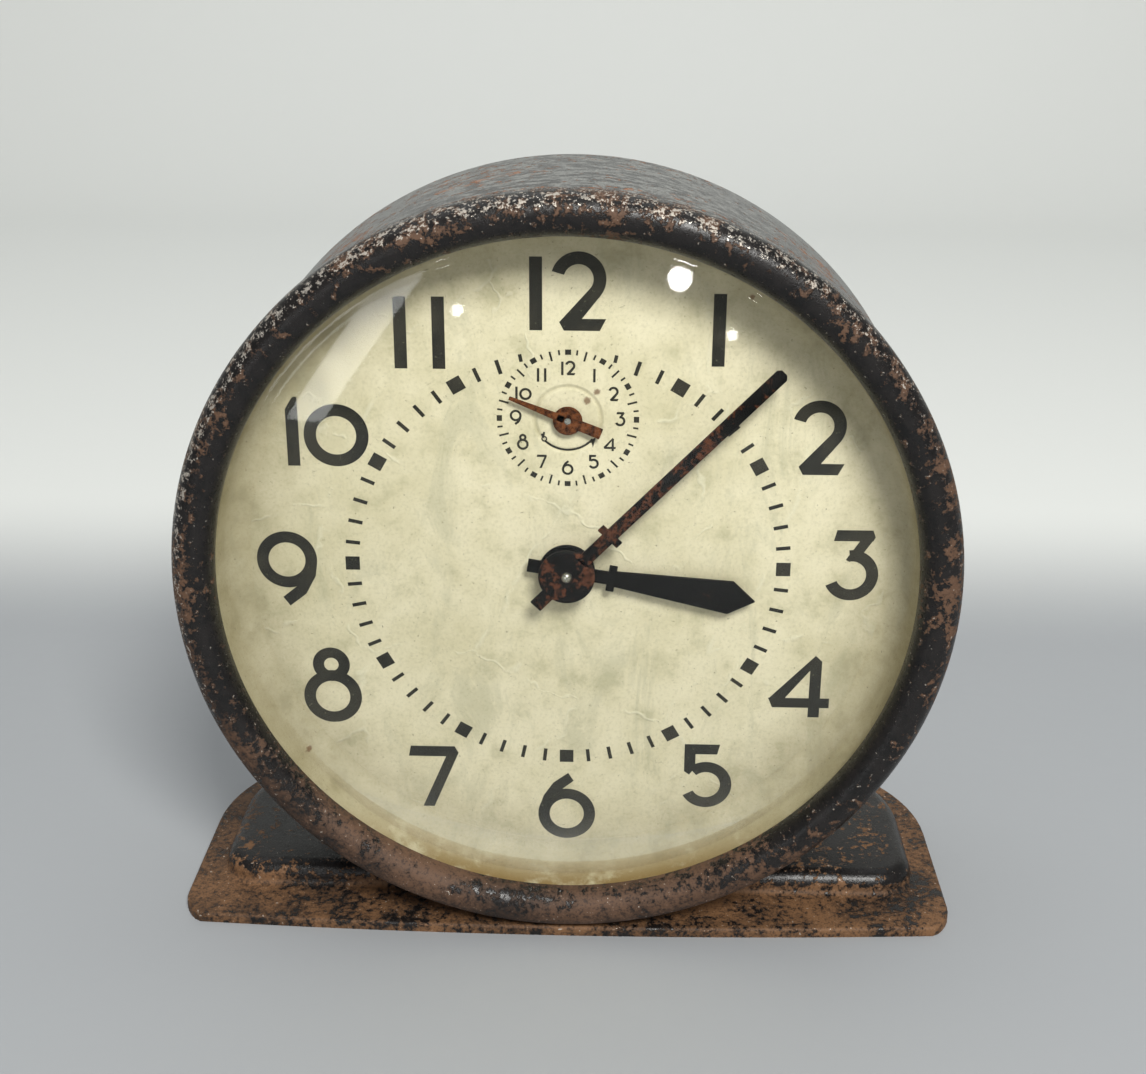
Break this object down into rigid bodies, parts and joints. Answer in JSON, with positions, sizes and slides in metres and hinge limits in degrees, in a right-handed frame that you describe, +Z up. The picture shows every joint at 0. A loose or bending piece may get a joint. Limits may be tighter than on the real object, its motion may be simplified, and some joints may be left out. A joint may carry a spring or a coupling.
{
  "type": "alarm clock",
  "caption": "Vintage wind-up alarm clock: round steel drum with a rounded bezel and domed glass on a flat base plate, with a two-train movement inside.",
  "frame": {"origin": "centre of the clock's bounding box on the table", "axes": "+X to the right as seen from the front, +Y towards the back, +Z up; the dial faces -Y"},
  "size_m": [0.1204, 0.0578, 0.1139],
  "materials": {
    "black_enamel": "worn gloss",
    "rusty_enamel": "rusted",
    "glass": "polished",
    "cream_card": "matt",
    "blackened_steel": "satin",
    "rusted_steel": "matt",
    "steel": "satin",
    "blued_steel": "polished",
    "brass": "satin"
  },
  "bodies": {
    "case": {"case_drum": "black_enamel", "bezel": "black_enamel", "crystal": "glass", "dial_ring": "cream_card", "dial_plate": "cream_card", "base_pan": "rusty_enamel", "base_screws": "steel", "base_nuts": "steel", "back_cover": "black_enamel", "back_cover_screws": "steel", "front_plate": "brass", "back_plate": "brass", "pillars": "steel", "standoffs": "steel", "balance_screws": "steel", "alarm_release_spring": "blued_steel", "bell": "steel", "bell_post": "steel"},
    "centre": {"centre_arbor": "steel", "centre_wheel": "brass", "cannon_pinion": "steel", "minute_hand": "blackened_steel", "hand_cap": "steel", "time_set_knob": "brass"},
    "hour": {"hour_wheel": "brass", "hour_hand": "blackened_steel"},
    "minute_wheel": {"minute_wheel": "brass"},
    "third": {"third_wheel": "brass"},
    "fourth": {"fourth_wheel": "brass"},
    "escape": {"escape_wheel": "brass"},
    "lever": {"pallet_lever": "steel"},
    "balance": {"balance_wheel": "brass", "hairspring": "blued_steel"},
    "regulator": {"regulator": "steel"},
    "time_main": {"time_main_wheel": "brass"},
    "time_click": {"time_click": "steel"},
    "time_winding": {"time_winding_arbor": "steel", "time_mainspring": "blued_steel", "time_key": "brass"},
    "alarm_wheel": {"alarm_wheel": "brass"},
    "alarm_setting": {"alarm_arbor": "steel", "alarm_hand": "rusted_steel", "alarm_set_knob": "brass"},
    "alarm_main": {"alarm_main_wheel": "brass"},
    "alarm_click": {"alarm_click": "steel"},
    "alarm_winding": {"alarm_winding_arbor": "steel", "alarm_mainspring": "blued_steel", "alarm_key": "brass"},
    "alarm_escape": {"alarm_escape_wheel": "brass"},
    "hammer": {"hammer": "steel"},
    "alarm_stop": {"alarm_stop_lever": "steel"}
  },
  "joints": [
    {"name": "minute_hand_turn", "type": "hinge", "parent": "case", "child": "centre", "pos_m": [0, -0.0021, 0.0578], "axis": [0, 1, 0], "continuous": true},
    {"name": "hour_hand_turn", "type": "hinge", "parent": "case", "child": "hour", "pos_m": [0, -0.0021, 0.0578], "axis": [0, 1, 0], "continuous": true},
    {"name": "minute_wheel_turn", "type": "hinge", "parent": "case", "child": "minute_wheel", "pos_m": [0.01223, -0.0021, 0.05074], "axis": [0, 1, 0], "continuous": true},
    {"name": "alarm_wheel_turn", "type": "hinge", "parent": "case", "child": "alarm_wheel", "pos_m": [0, -0.0021, 0.0804], "axis": [0, 1, 0], "continuous": true},
    {"name": "time_main_turn", "type": "hinge", "parent": "case", "child": "time_main", "pos_m": [0.01942, -0.0021, 0.0498], "axis": [0, 1, 0], "continuous": true},
    {"name": "third_turn", "type": "hinge", "parent": "case", "child": "third", "pos_m": [-0.00761, -0.0021, 0.0435], "axis": [0, 1, 0], "continuous": true},
    {"name": "fourth_turn", "type": "hinge", "parent": "case", "child": "fourth", "pos_m": [-0.00149, -0.0021, 0.0329], "axis": [0, 1, 0], "continuous": true},
    {"name": "escape_turn", "type": "hinge", "parent": "case", "child": "escape", "pos_m": [0.00708, -0.0021, 0.02519], "axis": [0, 1, 0], "continuous": true},
    {"name": "time_winding_turn", "type": "hinge", "parent": "case", "child": "time_winding", "pos_m": [0.01942, -0.0021, 0.0498], "axis": [0, 1, 0], "continuous": true, "deforming": ["time_mainspring"]},
    {"name": "time_click_lift", "type": "hinge", "parent": "time_main", "child": "time_click", "pos_m": [0.01526, -0.0021, 0.05151], "axis": [0, 1, 0], "range_deg": [-12, 0], "stiffness_Nm_per_rad": 0.0001},
    {"name": "lever_rock", "type": "hinge", "parent": "case", "child": "lever", "pos_m": [0.01465, -0.0021, 0.02583], "axis": [0, 1, 0], "range_deg": [-6, 6]},
    {"name": "balance_swing", "type": "hinge", "parent": "case", "child": "balance", "pos_m": [0.026, -0.0021, 0.0268], "axis": [0, 1, 0], "range_deg": [-220, 220], "deforming": ["hairspring"]},
    {"name": "regulator_turn", "type": "hinge", "parent": "case", "child": "regulator", "pos_m": [0.026, -0.0021, 0.0268], "axis": [0, 1, 0], "range_deg": [-15, 15]},
    {"name": "alarm_setting_turn", "type": "hinge", "parent": "case", "child": "alarm_setting", "pos_m": [0, -0.0021, 0.0804], "axis": [0, 1, 0], "continuous": true},
    {"name": "alarm_main_turn", "type": "hinge", "parent": "case", "child": "alarm_main", "pos_m": [-0.024, -0.0021, 0.0598], "axis": [0, 1, 0], "continuous": true},
    {"name": "alarm_escape_turn", "type": "hinge", "parent": "case", "child": "alarm_escape", "pos_m": [-0.0155, -0.0021, 0.07452], "axis": [0, 1, 0], "continuous": true},
    {"name": "alarm_winding_turn", "type": "hinge", "parent": "case", "child": "alarm_winding", "pos_m": [-0.024, -0.0021, 0.0598], "axis": [0, 1, 0], "continuous": true, "deforming": ["alarm_mainspring"]},
    {"name": "alarm_click_lift", "type": "hinge", "parent": "alarm_main", "child": "alarm_click", "pos_m": [-0.02175, -0.0021, 0.0637], "axis": [0, 1, 0], "range_deg": [-12, 0], "stiffness_Nm_per_rad": 0.0001},
    {"name": "hammer_swing", "type": "hinge", "parent": "case", "child": "hammer", "pos_m": [-0.01817, -0.0021, 0.08185], "axis": [0, 1, 0], "range_deg": [-6, 5]},
    {"name": "alarm_stop_turn", "type": "hinge", "parent": "case", "child": "alarm_stop", "pos_m": [-0.02, -0.0021, 0.0918], "axis": [0, 1, 0], "range_deg": [-12, 12]}
  ],
  "couplings": [
    {"joint": "hour_hand_turn", "follows": "minute_hand_turn", "ratio": 0.083333},
    {"joint": "minute_wheel_turn", "follows": "minute_hand_turn", "ratio": -0.33333},
    {"joint": "alarm_wheel_turn", "follows": "minute_hand_turn", "ratio": -0.083333},
    {"joint": "time_main_turn", "follows": "minute_hand_turn", "ratio": -0.16667},
    {"joint": "third_turn", "follows": "minute_hand_turn", "ratio": -8},
    {"joint": "fourth_turn", "follows": "minute_hand_turn", "ratio": 60},
    {"joint": "escape_turn", "follows": "minute_hand_turn", "ratio": -480},
    {"joint": "alarm_escape_turn", "follows": "alarm_main_turn", "ratio": -7.5}
  ]
}
